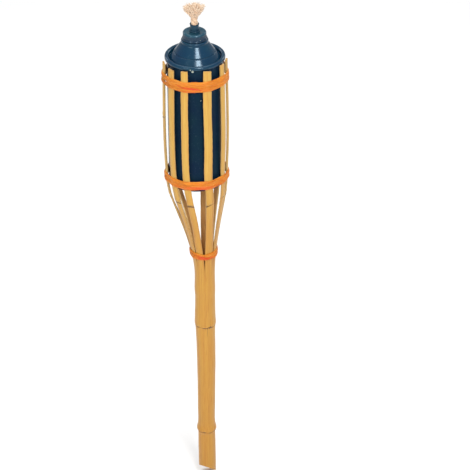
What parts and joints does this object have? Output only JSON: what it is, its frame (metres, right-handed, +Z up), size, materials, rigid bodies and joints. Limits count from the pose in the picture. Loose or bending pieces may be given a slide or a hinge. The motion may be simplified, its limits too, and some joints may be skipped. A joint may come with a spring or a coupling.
{
  "type": "tiki torch",
  "caption": "Bamboo garden torch: a split pole whose staves, bound with cane, hold a lift-out oil canister with a screw cap and a rope wick.",
  "frame": {"origin": "on the pole's axis, at the lowest full round section of its foot, where the slanting cut begins and a ground socket or sleeve ends", "axes": "+Z up along the pole, -Y towards the front, +X to the right; the basket and its canister stand 8 mm towards -X from the pole's axis"},
  "size_m": [0.0774, 0.0758, 0.6615],
  "materials": {
    "bamboo": "satin",
    "cane": "satin",
    "canister_enamel": "gloss",
    "cap_enamel": "gloss",
    "tube_metal": "satin",
    "seal": "matte",
    "wick": "matte"
  },
  "bodies": {
    "torch": {"pole": "bamboo", "stave_1": "bamboo", "stave_2": "bamboo", "stave_3": "bamboo", "stave_4": "bamboo", "stave_5": "bamboo", "stave_6": "bamboo", "stave_7": "bamboo", "stave_8": "bamboo", "stave_9": "bamboo", "neck_band": "cane", "lower_band": "cane", "upper_band": "cane"},
    "canister": {"canister_body": "canister_enamel", "canister_top": "canister_enamel", "canister_bottom": "canister_enamel"},
    "seal": {"cap_seal": "seal"},
    "holder": {"wick_tube": "tube_metal"},
    "cap": {"screw_cap": "cap_enamel"},
    "wick": {"wick": "wick", "wick_tip": "wick"}
  },
  "joints": [
    {"name": "canister_lift", "type": "slide", "parent": "torch", "child": "canister", "axis": [0, 0, 1], "range_m": [0, 0.17]},
    {"name": "cap_lift_off", "type": "slide", "parent": "canister", "child": "seal", "axis": [0, 0, 1], "range_m": [0, 0.19]},
    {"name": "cap_rise", "type": "slide", "parent": "seal", "child": "holder", "axis": [0, 0, 1], "range_m": [0, 0.0046]},
    {"name": "cap_turn", "type": "hinge", "parent": "holder", "child": "cap", "pos_m": [-0.008, 0, 0.6], "axis": [0, 0, 1], "range_deg": [0, 540]},
    {"name": "wick_feed", "type": "slide", "parent": "holder", "child": "wick", "axis": [0, 0, 1], "range_m": [-0.008, 0.02]}
  ],
  "couplings": [
    {"joint": "cap_rise", "follows": "cap_turn", "m_per_rad": 0.00047746}
  ]
}
